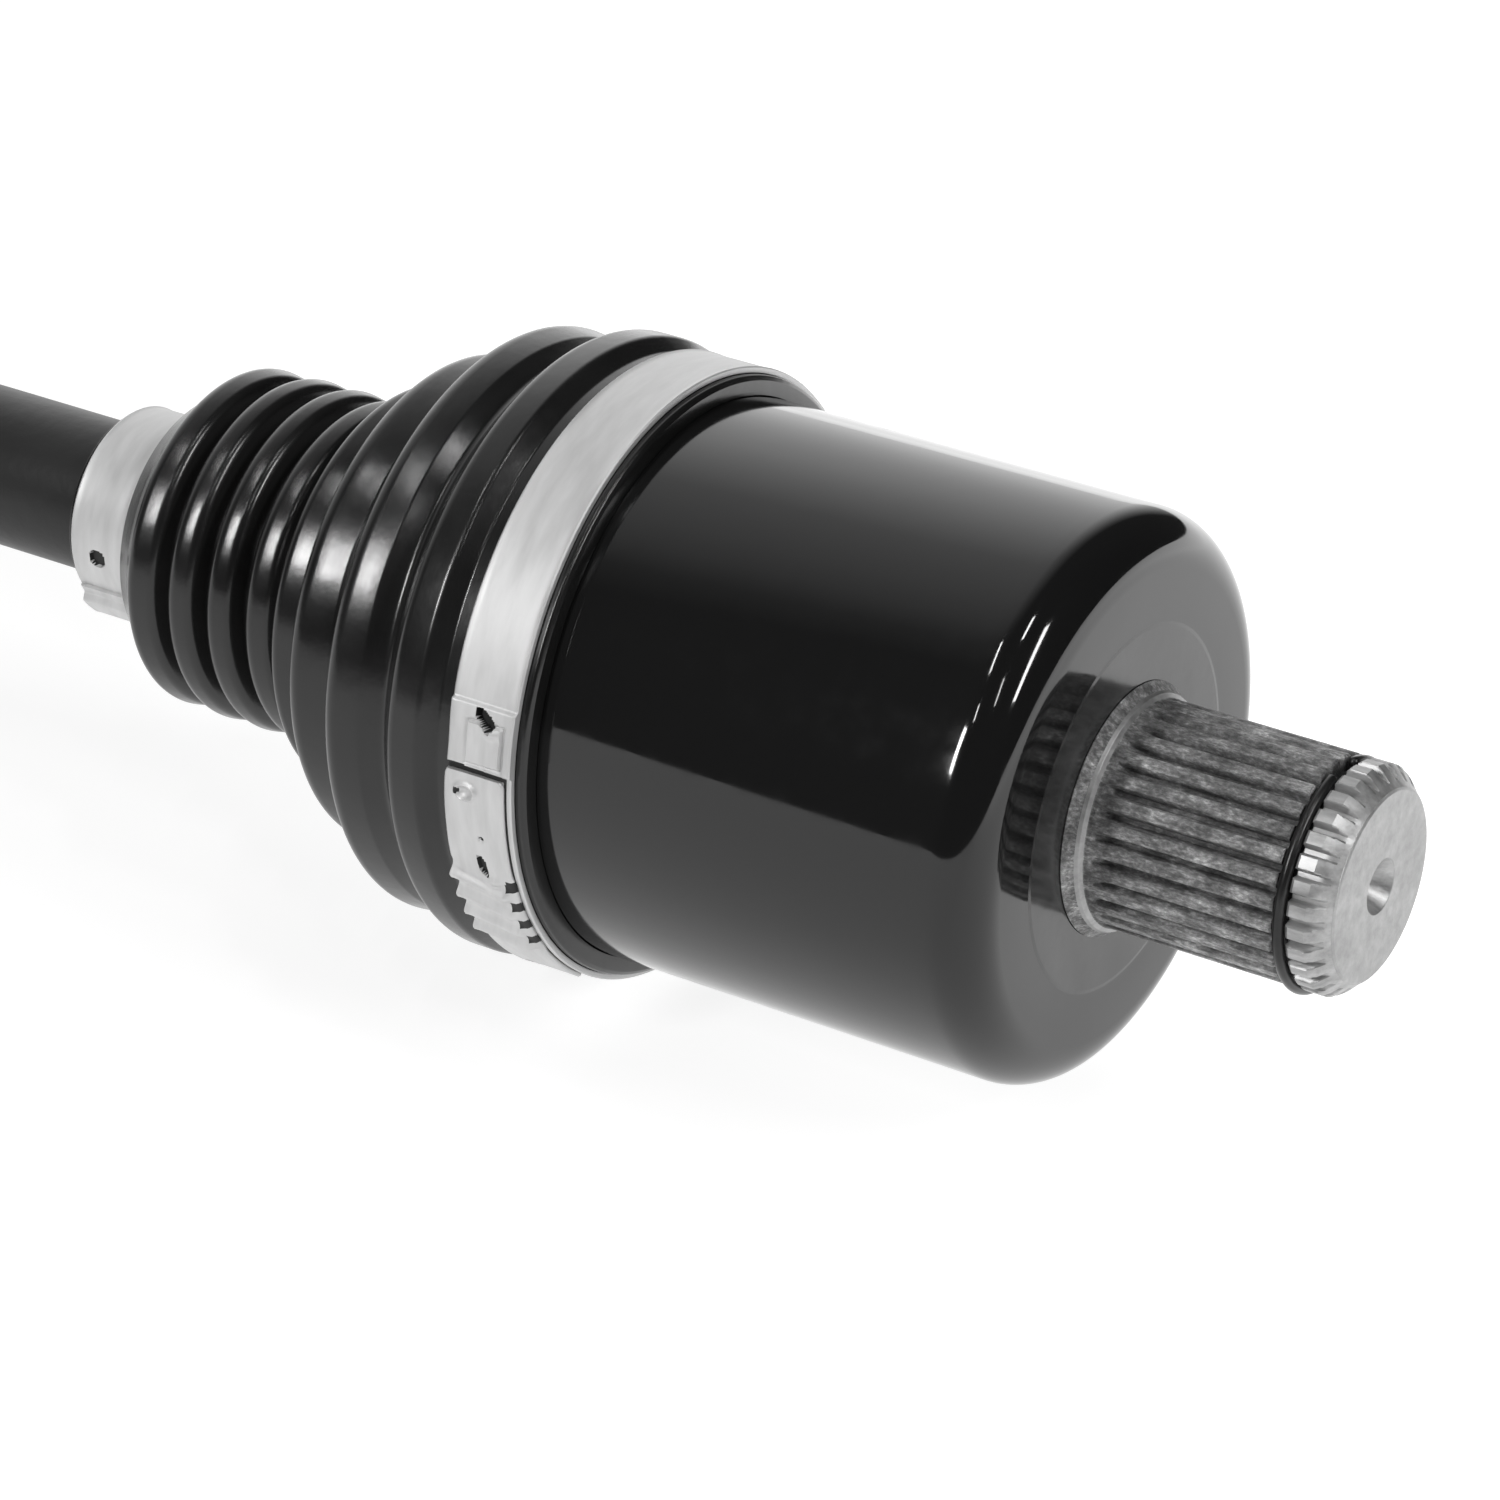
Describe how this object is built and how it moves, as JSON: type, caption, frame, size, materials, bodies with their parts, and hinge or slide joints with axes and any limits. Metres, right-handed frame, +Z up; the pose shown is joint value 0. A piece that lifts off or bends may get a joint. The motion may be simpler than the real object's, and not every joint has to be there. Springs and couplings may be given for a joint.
{
  "type": "cv axle",
  "caption": "Half shaft with a plunging CV joint in a cylindrical cup and a fixed CV joint in a bell, each with a splined stub, rubber bellows boot and band clamps.",
  "frame": {"origin": "centre of the bounding box, on the axle's centreline with both joints straight and the plunging joint at mid travel", "axes": "+X along the axle to the inboard splined stub, +Z up, +Y square to both"},
  "size_m": [0.62, 0.0856, 0.0856],
  "materials": {
    "bar_paint": "satin black paint on steel",
    "housing_paint": "gloss black paint; the splined stub is bare oiled steel",
    "boot_rubber": "satin moulded rubber",
    "bearing_steel": "ground and hardened steel, greased",
    "ball_steel": "polished bearing balls",
    "spring_steel": "oiled spring steel",
    "clamp_steel": "bright rolled stainless strip"
  },
  "bodies": {
    "axle": {"axle_bar": "bar_paint", "inboard_race": "bearing_steel", "outboard_race": "bearing_steel", "inboard_race_circlip": "spring_steel", "outboard_race_circlip": "spring_steel", "inboard_small_clamp": "clamp_steel", "outboard_small_clamp": "clamp_steel"},
    "inboard_upper_ball": {"inboard_ball_1": "ball_steel"},
    "inboard_cage": {"inboard_cage": "bearing_steel", "inboard_ball_2": "ball_steel", "inboard_ball_3": "ball_steel", "inboard_ball_5": "ball_steel", "inboard_ball_6": "ball_steel"},
    "inboard_lower_ball": {"inboard_ball_4": "ball_steel"},
    "inboard_boot": {"inboard_boot": "boot_rubber"},
    "inboard_housing": {"inboard_housing": "housing_paint", "stub_circlip": "spring_steel", "inboard_stop_ring": "spring_steel", "inboard_large_clamp": "clamp_steel"},
    "outboard_upper_ball": {"outboard_ball_1": "ball_steel"},
    "outboard_cage": {"outboard_cage": "bearing_steel", "outboard_ball_2": "ball_steel", "outboard_ball_3": "ball_steel", "outboard_ball_5": "ball_steel", "outboard_ball_6": "ball_steel"},
    "outboard_lower_ball": {"outboard_ball_4": "ball_steel"},
    "outboard_housing": {"outboard_housing": "housing_paint", "outboard_large_clamp": "clamp_steel", "outboard_boot": "boot_rubber"}
  },
  "joints": [
    {"name": "inboard_tilt_y_near", "type": "hinge", "parent": "axle", "child": "inboard_upper_ball", "pos_m": [0.234, 0, 0], "axis": [0, 1, 0], "range_deg": [-7.5, 7.5]},
    {"name": "inboard_tilt_z_near", "type": "hinge", "parent": "inboard_upper_ball", "child": "inboard_cage", "pos_m": [0.234, 0, 0], "axis": [0, 0, 1], "range_deg": [-7.5, 7.5]},
    {"name": "inboard_tilt_z_far", "type": "hinge", "parent": "inboard_cage", "child": "inboard_lower_ball", "pos_m": [0.234, 0, 0], "axis": [0, 0, 1], "range_deg": [-7.5, 7.5]},
    {"name": "inboard_tilt_y_far", "type": "hinge", "parent": "inboard_lower_ball", "child": "inboard_boot", "pos_m": [0.234, 0, 0], "axis": [0, 1, 0], "range_deg": [-7.5, 7.5], "deforming": ["inboard_boot"]},
    {"name": "inboard_plunge", "type": "slide", "parent": "inboard_boot", "child": "inboard_housing", "axis": [1, 0, 0], "range_m": [-0.012, 0.012], "deforming": ["inboard_boot"]},
    {"name": "outboard_tilt_y_near", "type": "hinge", "parent": "axle", "child": "outboard_upper_ball", "pos_m": [-0.202, 0, 0], "axis": [0, 1, 0], "range_deg": [-15, 15]},
    {"name": "outboard_tilt_z_near", "type": "hinge", "parent": "outboard_upper_ball", "child": "outboard_cage", "pos_m": [-0.202, 0, 0], "axis": [0, 0, 1], "range_deg": [-15, 15]},
    {"name": "outboard_tilt_z_far", "type": "hinge", "parent": "outboard_cage", "child": "outboard_lower_ball", "pos_m": [-0.202, 0, 0], "axis": [0, 0, 1], "range_deg": [-15, 15]},
    {"name": "outboard_tilt_y_far", "type": "hinge", "parent": "outboard_lower_ball", "child": "outboard_housing", "pos_m": [-0.202, 0, 0], "axis": [0, 1, 0], "range_deg": [-15, 15], "deforming": ["outboard_boot"]}
  ],
  "couplings": [
    {"joint": "inboard_tilt_z_far", "follows": "inboard_tilt_z_near", "ratio": 1},
    {"joint": "inboard_tilt_y_far", "follows": "inboard_tilt_y_near", "ratio": 1},
    {"joint": "outboard_tilt_z_far", "follows": "outboard_tilt_z_near", "ratio": 1},
    {"joint": "outboard_tilt_y_far", "follows": "outboard_tilt_y_near", "ratio": 1}
  ]
}
